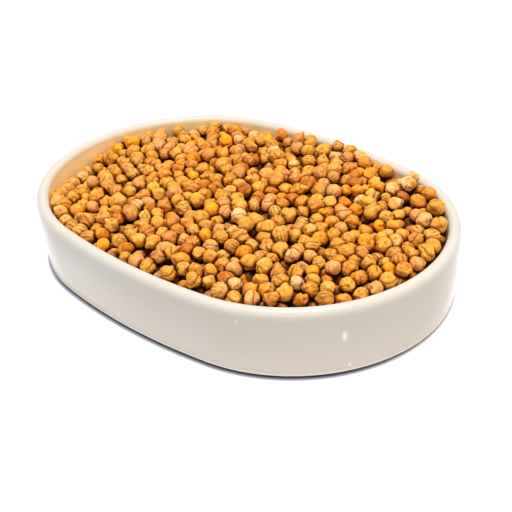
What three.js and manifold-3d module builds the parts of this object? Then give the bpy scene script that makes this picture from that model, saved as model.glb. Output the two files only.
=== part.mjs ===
// A white glazed oval dish, heaped with dried chickpeas.
// Lengths are in millimetres and +Z is up. X runs along the dish and Y across it.
// The origin is on the table, under the middle of the dish.

import * as THREE from 'three';
import { mergeVertices } from 'three/addons/utils/BufferGeometryUtils.js';
import Module from 'manifold-3d';

const wasm = await Module();
wasm.setup();

// The dish in plan: two round ends joined by two slightly bowed sides, all arcs that meet smoothly.
const dishLength = 240;
const dishWidth = 170;
const endRadius = 82;
const endSteps = 22;            // flat facets round each end
const sideSteps = 6;            // and along each side
const rimSteps = 6;             // over the rim
const edgeSteps = 2;            // round the wall's lower edge, and down the fillet inside

// The dish in section.
const dishHeight = 38;
const rimThickness = 6.5;       // the wall at its fully rounded rim
const outerLean = 2;            // how far the outside leans in on its way down
const innerLean = 1.5;          // the same on the inside, down to the fillet
const edgeHeight = 1;           // the wall's lower edge, above the table
const edgeRadius = 1.2;
const floorHeight = 7.5;        // the floor that the chickpeas lie on
const floorFillet = 9;
const footInset = 9;            // from the outer edge to the foot ring
const footWidth = 5;
const footDraft = 0.8;
const underside = 1.6;          // the recess inside the foot ring

// The heap's top, as heights above the table.
const fitGap = 0.35;            // air between the chickpeas and the glaze
const lowEndLevel = 33.5;       // beside the wall at the -X end
const highEndLevel = 40.5;      // beside the wall at the +X end
const dome = 3;                 // what the middle adds
const hollows = [               // dips beside the wall, and mounds where the depth is negative
  { x: -114, y: -30, reach: 48, depth: 8 },
  { x: -110, y: 15, reach: 14, depth: -5 },
  { x: -72, y: 60, reach: 24, depth: -1.5 },
  { x: -53, y: 76, reach: 11, depth: 5 },
  { x: -14, y: 78, reach: 22, depth: -3 },
  { x: 6, y: 78, reach: 14, depth: -3 },
  { x: 42, y: 78, reach: 14, depth: 4 },
  { x: 64, y: 68, reach: 18, depth: -2.5 },
  { x: 88, y: 58, reach: 38, depth: -4.2 },
];

// The chickpeas.
const peaRadius = 3.85;
const radiusSpread = 0.2;       // the largest and smallest, as a share of the usual radius
const peaSwell = 1.02;          // a ball of few sides is slightly larger, for what its facets cut off
const peaFlatness = 0.12;       // how far its flat sides are pulled in, as a share of the radius
const beakLength = 0.26;        // how far a beak stands out, as a share of the radius
const beakTaper = 6;            // the higher, the thinner the beak
const pouredLayers = 3;
const pourSpacing = 7.7;        // between chickpeas of a layer before they settle
const pourScatter = 0.9;        // how unevenly they start, as a share of that spacing
const wallReach = 0.5;          // one that starts in the wall by up to this share is moved in
const pourSeed = 76;
const settleSteps = 160;
const fallPerStep = 0.3;        // at first; it dwindles to nothing
const bedDepth = 20.5;          // from the heap's top down to the bed that the loose chickpeas lie on
const coreDepth = 3.2;          // from the heap's top down to the solid core
const coreFacets = [11, 8];     // across the core's top
const leastRise = 0.6;          // how far a fused chickpea stands out of the core at least
const mostRise = 2.4;           // how far a chickpea may stand above the heap's top
const shownSpacing = 0.97;      // between the chickpeas fused to the core, as a share of their width
const spaceHeight = 76;         // the top of the space that bounds the core, well above the heap

const glaze = new THREE.MeshStandardMaterial({ color: 0xf3eee6, roughness: 0.18, metalness: 0 });
const driedPea = new THREE.MeshStandardMaterial({ color: 0xd9a05f, roughness: 0.7, metalness: 0 });

// What follows from the sizes above: the oval's other arc, and the middle of the rim's rounding.
const endCentre = dishLength / 2 - endRadius;
const sideBow = dishWidth / 2 - endRadius;
const sideCentre = (endCentre * endCentre - sideBow * sideBow) / (2 * sideBow);
const sideRadius = sideCentre + dishWidth / 2;
const rimRadius = rimThickness / 2;
const rimLevel = dishHeight - rimRadius;
const filletLevel = floorHeight + floorFillet;

// The directions in which the outline faces, once round.
function outlineNormals() {
  const turn = Math.atan2(sideCentre, endCentre);
  const normals = [];
  for (const [from, to, steps] of [
    [-turn, turn, endSteps],
    [turn, Math.PI - turn, sideSteps],
    [Math.PI - turn, Math.PI + turn, endSteps],
    [Math.PI + turn, 2 * Math.PI - turn, sideSteps],
  ]) {
    for (let i = 0; i < steps; i++) normals.push(from + ((to - from) * i) / steps);
  }
  return normals;
}

// The point of the outline that faces a direction, moved in by an inset.
function outlinePoint(normal, inset) {
  const across = Math.cos(normal);
  const along = Math.sin(normal);
  const onSide = Math.abs(across) * sideCentre < Math.abs(along) * endCentre - 1e-9;
  const centre = onSide ? [0, -Math.sign(along) * sideCentre] : [Math.sign(across) * endCentre, 0];
  const radius = (onSide ? sideRadius : endRadius) - inset;
  return [centre[0] + radius * across, centre[1] + radius * along];
}

// Moves a point that lies closer than an inset to the outline straight in, to that inset.
function keepInside(point, inset) {
  const side = point.y < 0 ? -1 : 1;
  const end = point.x < 0 ? -1 : 1;
  const fromSide = point.y * side + sideCentre;
  const onSide = point.x * end * sideCentre < fromSide * endCentre;
  const centreX = onSide ? 0 : end * endCentre;
  const centreY = onSide ? -side * sideCentre : 0;
  const limit = (onSide ? sideRadius : endRadius) - inset;
  const dx = point.x - centreX;
  const dy = point.y - centreY;
  const distance = Math.sqrt(dx * dx + dy * dy);
  if (distance <= limit) return;
  point.x = centreX + (dx * limit) / distance;
  point.y = centreY + (dy * limit) / distance;
}

// How far the inner wall stands in from the outline, at a height.
function wallInset(z) {
  const depth = (rimLevel - z) / (rimLevel - filletLevel);
  return rimThickness + innerLean * Math.min(Math.max(depth, 0), 1);
}

// A profile's distance from the middle of a round end, for a distance in from the outline.
function fromOutline(inset) {
  return endRadius - inset;
}

// Points of a profile along an arc round (x, z).
function arcPoints(x, z, radius, from, to, steps) {
  const points = [];
  for (let i = 0; i <= steps; i++) {
    const angle = from + ((to - from) * i) / steps;
    points.push(new THREE.Vector2(x + radius * Math.cos(angle), z + radius * Math.sin(angle)));
  }
  return points;
}

// Turns a profile into a closed solid that follows the oval.
// The profile is measured from the middle of a round end.
// It runs from the middle of the underside out, up and back in on top.
// A ring that lies inside shrinkFrom is the ring at shrinkFrom, drawn evenly towards the middle of the dish.
function ovalSolid(profile, shrinkFrom) {
  const normals = outlineNormals();
  const geometry = new THREE.LatheGeometry(profile, normals.length);
  geometry.deleteAttribute('normal');
  geometry.deleteAttribute('uv');
  const position = geometry.getAttribute('position');
  for (let i = 0; i <= normals.length; i++) {
    profile.forEach((ring, j) => {
      const share = Math.min(ring.x / shrinkFrom, 1);
      const inset = endRadius - Math.max(ring.x, shrinkFrom);
      const [x, y] = outlinePoint(normals[i % normals.length], inset);
      position.setXYZ(i * profile.length + j, x * share, y * share, ring.y);
    });
  }
  return closed(geometry);
}

// Merges shared corners and leaves out the triangles that have shrunk to a line at a pole.
function closed(geometry) {
  const merged = mergeVertices(geometry, 1e-4);
  const corners = merged.getIndex().array;
  const kept = [];
  for (let i = 0; i < corners.length; i += 3) {
    const [a, b, c] = corners.slice(i, i + 3);
    if (a !== b && b !== c && c !== a) kept.push(a, b, c);
  }
  merged.setIndex(kept);
  return merged;
}

function toSolid(geometry) {
  return new wasm.Manifold(new wasm.Mesh({
    numProp: 3,
    vertProperties: new Float32Array(geometry.getAttribute('position').array),
    triVerts: new Uint32Array(geometry.getIndex().array),
  }));
}

function toGeometry(solid) {
  const mesh = solid.getMesh();
  const geometry = new THREE.BufferGeometry();
  geometry.setAttribute('position', new THREE.BufferAttribute(mesh.vertProperties, 3));
  geometry.setIndex(new THREE.BufferAttribute(mesh.triVerts, 1));
  return geometry;
}

function makeDish() {
  const down = -Math.PI / 2;
  const edgeCentre = fromOutline(outerLean + edgeRadius);
  const filletCentre = fromOutline(wallInset(filletLevel) + floorFillet);
  const profile = [
    new THREE.Vector2(0, underside),
    new THREE.Vector2(fromOutline(footInset + footWidth + footDraft), underside),
    new THREE.Vector2(fromOutline(footInset + footWidth), 0),
    new THREE.Vector2(fromOutline(footInset), 0),
    new THREE.Vector2(fromOutline(footInset - footDraft), edgeHeight),
    ...arcPoints(edgeCentre, edgeHeight + edgeRadius, edgeRadius, down, 0, edgeSteps),
    ...arcPoints(fromOutline(rimRadius), rimLevel, rimRadius, 0, Math.PI, rimSteps),
    ...arcPoints(filletCentre, filletLevel, floorFillet, 0, down, edgeSteps),
    new THREE.Vector2(0, floorHeight),
  ];
  return ovalSolid(profile, fromOutline(footInset + footWidth + floorFillet));
}

// The height of the heap's top over a point: it climbs from the low end, levels off, and domes in the middle.
function heapTop(x, y) {
  const halfLength = dishLength / 2 - rimThickness;
  const halfWidth = dishWidth / 2 - rimThickness;
  const left = (halfLength - x) / (2 * halfLength);
  const climb = (highEndLevel - lowEndLevel) * (1 - left * left * left);
  const spread = (x * x) / (halfLength * halfLength) + (y * y) / (halfWidth * halfWidth);
  let height = lowEndLevel + climb + dome * (1 - spread);
  for (const hollow of hollows) {
    const dx = x - hollow.x;
    const dy = y - hollow.y;
    const near = 1 - (dx * dx + dy * dy) / (hollow.reach * hollow.reach);
    if (near > 0) height -= hollow.depth * near * near;
  }
  return height;
}

// Repeatable draws between 0 and 1, by the minimal standard generator.
function seededDraws(seed) {
  const multiplier = 16807;
  const modulus = 2 ** 31 - 1;
  let state = seed;
  return () => {
    state = (state * multiplier) % modulus;
    return state / modulus;
  };
}

// A direction drawn evenly from the sphere.
function drawDirection(draw) {
  for (;;) {
    const x = 2 * draw() - 1;
    const y = 2 * draw() - 1;
    const z = 2 * draw() - 1;
    const length = Math.sqrt(x * x + y * y + z * z);
    if (length > 0.1 && length < 1) return new THREE.Vector3(x / length, y / length, z / length);
  }
}

// Chickpeas spread in loose layers over the bed, each with its size and the way it faces.
function scatterPeas() {
  const draw = seededDraws(pourSeed);
  const columns = Math.floor(dishLength / pourSpacing / 2);
  const rows = Math.floor(dishWidth / pourSpacing / 2);
  const peas = [];
  for (let layer = 0; layer < pouredLayers; layer++) {
    for (let column = -columns; column <= columns; column++) {
      for (let row = -rows; row <= rows; row++) {
        const radius = peaRadius * (1 + radiusSpread * (draw() + draw() - 1));
        const pea = {
          x: (column + pourScatter * (draw() - 0.5)) * pourSpacing,
          y: (row + pourScatter * (draw() - 0.5)) * pourSpacing,
          z: 0,
          radius,
          beak: drawDirection(draw),
          flat: drawDirection(draw),
        };
        const before = { x: pea.x, y: pea.y };
        keepInside(pea, rimThickness + peaRadius);
        if (Math.hypot(pea.x - before.x, pea.y - before.y) > wallReach * pourSpacing) continue;
        pea.z = heapTop(pea.x, pea.y) - bedDepth + (2 * layer + 1) * peaRadius;
        peas.push(pea);
      }
    }
  }
  return peas;
}

// Lets the chickpeas fall and push one another aside until they lie on the bed and on each other.
// The few that are squeezed out on top are left out.
function settlePeas(peas) {
  const cell = 2 * peaRadius * (1 + radiusSpread);
  const cellsInRow = 4 * Math.ceil(dishLength / cell);
  for (let step = 0; step < settleSteps; step++) {
    const fall = fallPerStep * (1 - step / settleSteps);
    const cells = new Map();
    peas.forEach((pea, i) => {
      pea.z -= fall;
      pea.cell = Math.floor(pea.y / cell) * cellsInRow + Math.floor(pea.x / cell);
      if (!cells.has(pea.cell)) cells.set(pea.cell, []);
      cells.get(pea.cell).push(i);
    });
    peas.forEach((pea, i) => {
      for (let row = -1; row <= 1; row++) {
        for (let column = -1; column <= 1; column++) {
          for (const j of cells.get(pea.cell + row * cellsInRow + column) || []) {
            if (j > i) pushApart(pea, peas[j]);
          }
        }
      }
      keepInside(pea, wallInset(pea.z) + fitGap + pea.radius);
      pea.z = Math.max(pea.z, heapTop(pea.x, pea.y) - bedDepth + pea.radius);
    });
  }
  return peas.filter((pea) => topDepth(pea) > -mostRise);
}

// How far the top of a chickpea lies under the heap's.
function topDepth(pea) {
  return heapTop(pea.x, pea.y) - pea.z - pea.radius;
}

// Moves two chickpeas that overlap apart by equal steps, until they just touch.
function pushApart(a, b) {
  const dx = b.x - a.x;
  const dy = b.y - a.y;
  const dz = b.z - a.z;
  const gap = a.radius + b.radius;
  const distance = Math.sqrt(dx * dx + dy * dy + dz * dz);
  if (distance >= gap || distance < 1e-6) return;
  const push = (gap - distance) / distance / 2;
  a.x -= dx * push;
  a.y -= dy * push;
  a.z -= dz * push;
  b.x += dx * push;
  b.y += dy * push;
  b.z += dz * push;
}

// One chickpea with few sides: an uneven ball, flattened one way and drawn out to a beak another.
function makePea(pea) {
  const ball = new THREE.IcosahedronGeometry(1, 0);
  ball.deleteAttribute('normal');
  ball.deleteAttribute('uv');
  const geometry = closed(ball);
  const position = geometry.getAttribute('position');
  const corner = new THREE.Vector3().fromBufferAttribute(position, 0);
  geometry.applyQuaternion(new THREE.Quaternion().setFromUnitVectors(corner, new THREE.Vector3(0, 0, 1)));
  geometry.rotateZ(Math.PI * pea.flat.x);
  for (let i = 0; i < position.count; i++) {
    corner.fromBufferAttribute(position, i);
    const towardsBeak = Math.max(corner.dot(pea.beak), 0);
    const towardsFlat = corner.dot(pea.flat);
    const reach = peaSwell + beakLength * towardsBeak ** beakTaper - peaFlatness * towardsFlat * towardsFlat;
    corner.multiplyScalar(pea.radius * reach);
    corner.x += pea.x;
    corner.y += pea.y;
    corner.z += pea.z;
    keepInside(corner, wallInset(corner.z) + fitGap);
    position.setXYZ(i, corner.x, corner.y, corner.z);
  }
  return geometry;
}

// The space inside the dish, just clear of the glaze and open upwards.
function makeSpace() {
  const filletCentre = fromOutline(wallInset(filletLevel) + floorFillet);
  const mouth = fromOutline(wallInset(rimLevel) + fitGap);
  const profile = [
    new THREE.Vector2(0, floorHeight + fitGap),
    ...arcPoints(filletCentre, filletLevel, floorFillet - fitGap, -Math.PI / 2, 0, edgeSteps),
    new THREE.Vector2(mouth, rimLevel),
    new THREE.Vector2(mouth, spaceHeight),
    new THREE.Vector2(0, spaceHeight),
  ];
  return ovalSolid(profile, filletCentre);
}

// The core fills the dish under the chickpeas that show. Its top follows the heap's in broad facets.
function makeCore() {
  const [columns, rows] = coreFacets;
  const geometry = new THREE.BoxGeometry(dishLength, dishWidth, spaceHeight, columns, rows, 1);
  geometry.deleteAttribute('normal');
  geometry.deleteAttribute('uv');
  const position = geometry.getAttribute('position');
  for (let i = 0; i < position.count; i++) {
    if (position.getZ(i) < 0) continue;
    position.setZ(i, heapTop(position.getX(i), position.getY(i)) - coreDepth);
  }
  return toSolid(closed(geometry)).intersect(toSolid(makeSpace()));
}

// The chickpeas that are fused to the core: the highest first, then each one that no higher one crowds.
function topPeas(peas) {
  const shown = [];
  for (const pea of peas.sort((a, b) => topDepth(a) - topDepth(b))) {
    if (topDepth(pea) > coreDepth - leastRise) break;
    const crowded = shown.some((other) => {
      const room = shownSpacing * (pea.radius + other.radius);
      return Math.hypot(pea.x - other.x, pea.y - other.y) < room;
    });
    if (!crowded) shown.push(pea);
  }
  return shown;
}

// The whole heap as one solid. A chickpea that doesn't reach the core is left out.
function makeHeap() {
  const peas = settlePeas(scatterPeas());
  const balls = topPeas(peas).map((pea) => toSolid(makePea(pea)));
  const whole = wasm.Manifold.union([makeCore(), ...balls]);
  const pieces = whole.decompose().sort((a, b) => b.volume() - a.volume());
  return toGeometry(pieces[0]);
}

function namedMesh(name, geometry, material) {
  const mesh = new THREE.Mesh(geometry, material);
  mesh.name = name;
  return mesh;
}

const filledDish = new THREE.Group();
filledDish.name = 'filled_dish';
filledDish.add(namedMesh('dish', makeDish(), glaze));
filledDish.add(namedMesh('chickpeas', makeHeap(), driedPea));

export default filledDish;
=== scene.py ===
# A white glazed oval dish heaped with dried chickpeas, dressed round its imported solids.
# Lengths are in millimetres and become metres where a mesh is made.
import math

import bmesh
import bpy
import numpy as np
from mathutils import Matrix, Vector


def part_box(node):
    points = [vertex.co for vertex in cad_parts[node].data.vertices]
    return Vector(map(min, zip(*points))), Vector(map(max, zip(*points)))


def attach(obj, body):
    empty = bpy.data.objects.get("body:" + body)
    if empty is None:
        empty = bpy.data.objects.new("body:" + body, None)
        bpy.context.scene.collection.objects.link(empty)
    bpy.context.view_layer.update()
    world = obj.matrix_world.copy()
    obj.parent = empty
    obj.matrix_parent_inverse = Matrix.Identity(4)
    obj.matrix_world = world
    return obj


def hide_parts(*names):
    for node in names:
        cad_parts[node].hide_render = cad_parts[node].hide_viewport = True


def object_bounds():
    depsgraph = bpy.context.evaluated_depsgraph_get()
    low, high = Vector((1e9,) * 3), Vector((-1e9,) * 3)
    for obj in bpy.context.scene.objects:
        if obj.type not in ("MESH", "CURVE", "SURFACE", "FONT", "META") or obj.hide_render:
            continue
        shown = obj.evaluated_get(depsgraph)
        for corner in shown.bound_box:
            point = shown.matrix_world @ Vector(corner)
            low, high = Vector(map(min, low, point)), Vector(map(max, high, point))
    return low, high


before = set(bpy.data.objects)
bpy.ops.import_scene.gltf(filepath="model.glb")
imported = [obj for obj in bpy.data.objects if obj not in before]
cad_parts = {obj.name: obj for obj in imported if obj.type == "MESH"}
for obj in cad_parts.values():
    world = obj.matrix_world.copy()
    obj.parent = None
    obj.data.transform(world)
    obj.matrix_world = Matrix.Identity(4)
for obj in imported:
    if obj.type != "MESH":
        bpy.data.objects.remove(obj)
cadLow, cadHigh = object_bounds()
metre = 1000

# The dish's form, in plan and in section. In plan it is an oval of four arcs.
dishForm = {
    "endRadius": 82,        # the two round ends
    "rimThickness": 6.5,    # a fully rounded rim
    "outerLean": 2,         # the wall leans in on its way down
    "innerLean": 1.5,
    "edgeHeight": 1,        # the wall's lower edge, above the table
    "edgeRadius": 1.2,
    "floorHeight": 7.5,
    "floorFillet": 9,
    "footInset": 9,
    "footWidth": 5,
    "footDraft": 0.8,
    "footChamfer": 0.3,
    "underside": 1.6,
    "endSteps": 66,         # facets round an end
    "sideSteps": 22,
    "edgeSteps": 6,
    "rimSteps": 18,
    "filletSteps": 7,
}


def nodeSize(node):
    low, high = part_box(node)
    return [round((b - a) * metre, 2) for a, b in zip(low, high)]


dishLength, dishWidth, dishHeight = nodeSize("dish")
endRadius = dishForm["endRadius"]
endCentre = dishLength / 2 - endRadius
sideBow = dishWidth / 2 - endRadius
sideCentre = (endCentre * endCentre - sideBow * sideBow) / (2 * sideBow)
sideRadius = sideCentre + dishWidth / 2
rimRadius = dishForm["rimThickness"] / 2
rimLevel = dishHeight - rimRadius
filletLevel = dishForm["floorHeight"] + dishForm["floorFillet"]


def outlineNormals():  # the directions in which the oval faces, once round
    turn = math.atan2(sideCentre, endCentre)
    arcs = (
        (-turn, turn, dishForm["endSteps"]),
        (turn, math.pi - turn, dishForm["sideSteps"]),
        (math.pi - turn, math.pi + turn, dishForm["endSteps"]),
        (math.pi + turn, 2 * math.pi - turn, dishForm["sideSteps"]),
    )
    return np.concatenate([np.linspace(a, b, n, endpoint=False) for a, b, n in arcs])


def outlinePoints(normals, inset):
    across = np.cos(normals)
    along = np.sin(normals)
    onSide = np.abs(across) * sideCentre < np.abs(along) * endCentre - 1e-9
    centreX = np.where(onSide, 0, np.sign(across) * endCentre)
    centreY = np.where(onSide, -np.sign(along) * sideCentre, 0)
    radius = np.where(onSide, sideRadius, endRadius) - inset
    return np.stack([centreX + radius * across, centreY + radius * along], 1)


def keepPointInside(x, y, inset):  # moves a point closer than inset to the outline in to it
    side = -1 if y < 0 else 1
    end = -1 if x < 0 else 1
    fromSide = y * side + sideCentre
    onSide = x * end * sideCentre < fromSide * endCentre
    centreX = 0 if onSide else end * endCentre
    centreY = -side * sideCentre if onSide else 0
    limit = (sideRadius if onSide else endRadius) - inset
    dx = x - centreX
    dy = y - centreY
    distance = math.sqrt(dx * dx + dy * dy)
    if distance <= limit:
        return x, y
    return centreX + (dx * limit) / distance, centreY + (dy * limit) / distance


def keepInside(points, inset):  # the same for an array of points, each with its own inset
    side = np.where(points[:, 1] < 0, -1, 1)
    end = np.where(points[:, 0] < 0, -1, 1)
    onSide = points[:, 0] * end * sideCentre < (points[:, 1] * side + sideCentre) * endCentre
    centre = np.stack([np.where(onSide, 0, end * endCentre), np.where(onSide, -side * sideCentre, 0)], 1)
    limit = np.where(onSide, sideRadius, endRadius) - inset
    away = points[:, :2] - centre
    distance = np.linalg.norm(away, axis=1)
    share = np.minimum(limit / np.maximum(distance, 1e-9), 1)
    points[:, :2] = centre + away * share[:, None]


def wallInset(z):  # from the outline to the wall's inner face
    depth = (rimLevel - z) / (rimLevel - filletLevel)
    return dishForm["rimThickness"] + dishForm["innerLean"] * min(max(depth, 0), 1)


def wallInsets(z):  # the same for an array of heights
    depth = (rimLevel - z) / (rimLevel - filletLevel)
    return dishForm["rimThickness"] + dishForm["innerLean"] * np.clip(depth, 0, 1)


# A mesh from arrays of points and faces, with values for its points.
def makeMesh(name, points, faces, values=None):
    mesh = bpy.data.meshes.new(name)
    mesh.vertices.add(len(points))
    mesh.vertices.foreach_set("co", np.asarray(points, np.float32).ravel() / metre)
    sides = faces.shape[1]
    mesh.loops.add(faces.size)
    mesh.loops.foreach_set("vertex_index", faces.astype(np.int32).ravel())
    mesh.polygons.add(len(faces))
    mesh.polygons.foreach_set("loop_start", np.arange(0, faces.size, sides, dtype=np.int32))
    mesh.polygons.foreach_set("loop_total", np.full(len(faces), sides, np.int32))
    mesh.polygons.foreach_set("use_smooth", np.ones(len(faces), bool))
    for key, value in (values or {}).items():
        layer = mesh.attributes.new(key, "FLOAT", "POINT")
        layer.data.foreach_set("value", np.asarray(value, np.float32))
    mesh.update(calc_edges=True)
    mesh.validate()
    piece = bpy.data.objects.new(name, mesh)
    bpy.context.scene.collection.objects.link(piece)
    return piece


# A material's node tree, or a group's, with short ways to add nodes to it.
class Shader:
    def __init__(self, name, tree=None):
        if tree is None:
            self.material = bpy.data.materials.new(name)
            self.material.use_nodes = True
            tree = self.material.node_tree
            tree.nodes.clear()
        self.tree = tree

    def node(self, kind, sets=None, **inputs):
        made = self.tree.nodes.new(kind)
        for key, value in (sets or {}).items():
            setattr(made, key, value)
        for key, value in inputs.items():
            self.feed(made.inputs[key.replace("_", " ")], value)
        return made

    def feed(self, socket, value):
        if isinstance(value, bpy.types.NodeSocket):
            self.tree.links.new(value, socket)
        else:
            socket.default_value = value

    def math(self, operation, a, b=None, clamp=False):
        made = self.tree.nodes.new("ShaderNodeMath")
        made.operation = operation
        made.use_clamp = clamp
        self.feed(made.inputs[0], a)
        if b is not None:
            self.feed(made.inputs[1], b)
        return made.outputs[0]

    def vector(self, operation, a, b=None):
        made = self.tree.nodes.new("ShaderNodeVectorMath")
        made.operation = operation
        self.feed(made.inputs[0], a)
        if b is not None:
            self.feed(made.inputs[1], b)
        return made.outputs["Value" if operation == "LENGTH" else "Vector"]

    def mixColour(self, factor, a, b, blend="MIX"):
        made = self.tree.nodes.new("ShaderNodeMix")
        made.data_type = "RGBA"
        made.blend_type = blend
        self.feed(made.inputs["Factor"], factor)
        self.feed(made.inputs["A"], a)
        self.feed(made.inputs["B"], b)
        return made.outputs["Result"]

    def mixValue(self, factor, a, b):
        made = self.tree.nodes.new("ShaderNodeMix")
        made.data_type = "FLOAT"
        self.feed(made.inputs["Factor"], factor)
        self.feed(made.inputs["A"], a)
        self.feed(made.inputs["B"], b)
        return made.outputs["Result"]

    def ramp(self, value, low, high):
        made = self.tree.nodes.new("ShaderNodeMapRange")
        made.interpolation_type = "SMOOTHSTEP"
        self.feed(made.inputs["Value"], value)
        made.inputs["From Min"].default_value = low
        made.inputs["From Max"].default_value = high
        return made.outputs["Result"]

    def noise(self, place, scale, detail):
        return self.node("ShaderNodeTexNoise", Vector=place, Scale=scale, Detail=detail).outputs["Fac"]

    def attribute(self, name):
        made = self.tree.nodes.new("ShaderNodeAttribute")
        made.attribute_name = name
        return made.outputs["Fac"]


def rgb(red, green, blue):  # a picture's 0-255 colour as linear light
    light = [((v / 255 + 0.055) / 1.055) ** 2.4 if v > 10 else v / 3295 for v in (red, green, blue)]
    return (*light, 1)


# The dish.
glazeLook = {
    "body": rgb(186, 181, 173),
    "warm": rgb(186, 177, 164),
    "cloudScale": 18,
    "cloudFade": (0.35, 0.75),
    "low": rgb(184, 175, 162),       # painted shade: the lower part of the wall a little darker
    # painted light: the inside of the same glaze, lighter and warmer as if lit by light off the chickpeas
    "inside": rgb(255, 226, 162),
    "rim": rgb(207, 201, 188),       # partly where the glaze lies thin, partly a painted highlight on the rim's rounded top
    "edge": rgb(222, 212, 198),      # painted highlight: the lower edge of the wall, as if lit by the table below
    "clay": rgb(150, 130, 108),      # the bare foot
    "lowShadeFade": (24, 4),              # heights between which each of them comes in
    "rimFade": (32, 38),
    "edgeHighlightFade": (3.4, 1.5),
    "clayFade": (1, 0.7),
    "speck": rgb(176, 160, 140),
    "speckScale": 55,
    "speckSize": 0.035,
    "speckPatches": 31,
    "speckRarity": 0.6,
    "speckStrength": 0.5,
    "roughness": (0.16, 0.24),
    "smearScale": 60,
    "smearFade": (0.3, 0.8),
    "insideRoughness": 0.5,
    "clayRoughness": 0.8,
    "swellScale": 21.6,
    "swellStrength": 0.12,
    "swellHeight": 0.6,
    "specular": 0.22,
    "coat": 0.06,
    "coatRoughness": 0.06,
    "glintsAndStain": (                       # painted glints on the wall, and one yellowish stain in the glaze (the last): centre, reach, stretch in height, colour, strength
        ((105.8, -44.6, 22.2), 2.2, 0.5, rgb(236, 228, 216), 0.8),
        ((106.3, -41.8, 5), 1.1, 1, rgb(236, 228, 216), 0.8),
        ((69, -75.6, 30.5), 1, 0.3, rgb(226, 218, 208), 0.5),
        ((38, -82.3, 28), 1.6, 1, rgb(196, 190, 146), 0.5),
    ),
}


def arcPoints(x, z, radius, start, stop, steps):
    angles = np.linspace(start, stop, steps + 1)
    return [(x + radius * math.cos(a), z + radius * math.sin(a)) for a in angles]


def dishProfile():  # from the foot's inner side out, up, over the rim and down to the dish's floor
    form = dishForm
    footInner = endRadius - form["footInset"] - form["footWidth"]
    footOuter = endRadius - form["footInset"]
    chamfer = form["footChamfer"]
    edgeCentre = endRadius - form["outerLean"] - form["edgeRadius"]
    edgeLevel = form["edgeHeight"] + form["edgeRadius"]
    filletCentre = endRadius - wallInset(filletLevel) - form["floorFillet"]
    quarter = math.pi / 2
    rings = [
        (footInner - form["footDraft"], form["underside"]),
        (footInner - chamfer, chamfer),
        (footInner + chamfer, 0),
        (footOuter - chamfer, 0),
        (footOuter + chamfer, chamfer),
        (footOuter + form["footDraft"], form["edgeHeight"]),
        ((footOuter + edgeCentre) / 2, form["edgeHeight"]),
    ]
    rings += arcPoints(edgeCentre, edgeLevel, form["edgeRadius"], -quarter, 0, form["edgeSteps"])
    for share in (0.25, 0.5, 0.75):  # up the outside of the wall
        reach = endRadius - form["outerLean"] + form["outerLean"] * share
        rings.append((reach, edgeLevel + (rimLevel - edgeLevel) * share))
    rings += arcPoints(endRadius - rimRadius, rimLevel, rimRadius, 0, math.pi, form["rimSteps"])
    for share in (0.33, 0.67):  # down the inside
        z = rimLevel + (filletLevel - rimLevel) * share
        rings.append((endRadius - wallInset(z), z))
    rings += arcPoints(filletCentre, filletLevel, form["floorFillet"], 0, -quarter, form["filletSteps"])
    return rings


def makeDish():
    normals = outlineNormals()
    around = len(normals)
    shrinkFrom = endRadius - dishForm["footInset"] - dishForm["footWidth"] - dishForm["floorFillet"]
    inward = (0.75, 0.5, 0.25)  # nearer the middle than shrinkFrom, each ring is a smaller copy of that one
    profile = [(shrinkFrom * s, dishForm["underside"]) for s in reversed(inward)]
    profile.append((shrinkFrom, dishForm["underside"]))
    profile += dishProfile()
    profile += [(shrinkFrom * s, dishForm["floorHeight"]) for s in inward]
    rings = []
    for reach, z in profile:
        plan = outlinePoints(normals, endRadius - max(reach, shrinkFrom)) * min(reach / shrinkFrom, 1)
        rings.append(np.column_stack([plan, np.full(around, z)]))
    points = np.concatenate(rings + [[[0, 0, dishForm["underside"]], [0, 0, dishForm["floorHeight"]]]])
    here = np.arange(around)
    after = (here + 1) % around
    quads = []
    for ring in range(len(profile) - 1):
        low = ring * around
        high = low + around
        quads.append(np.column_stack([low + here, low + after, high + after, high + here]))
    top = (len(profile) - 1) * around
    under = len(profile) * around
    fans = np.concatenate([
        np.column_stack([after, here, np.full(around, under)]),
        np.column_stack([top + here, top + after, np.full(around, under + 1)]),
    ])
    quads = np.concatenate(quads)
    triangles = np.concatenate([quads[:, [0, 1, 2]], quads[:, [0, 2, 3]], fans])
    crest = max(range(len(profile)), key=lambda ring: profile[ring][1])
    inside = np.repeat(np.arange(len(profile)) > crest, around)
    return makeMesh("glazed_dish", points, triangles, {"inside": np.append(inside, [False, True])})


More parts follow.
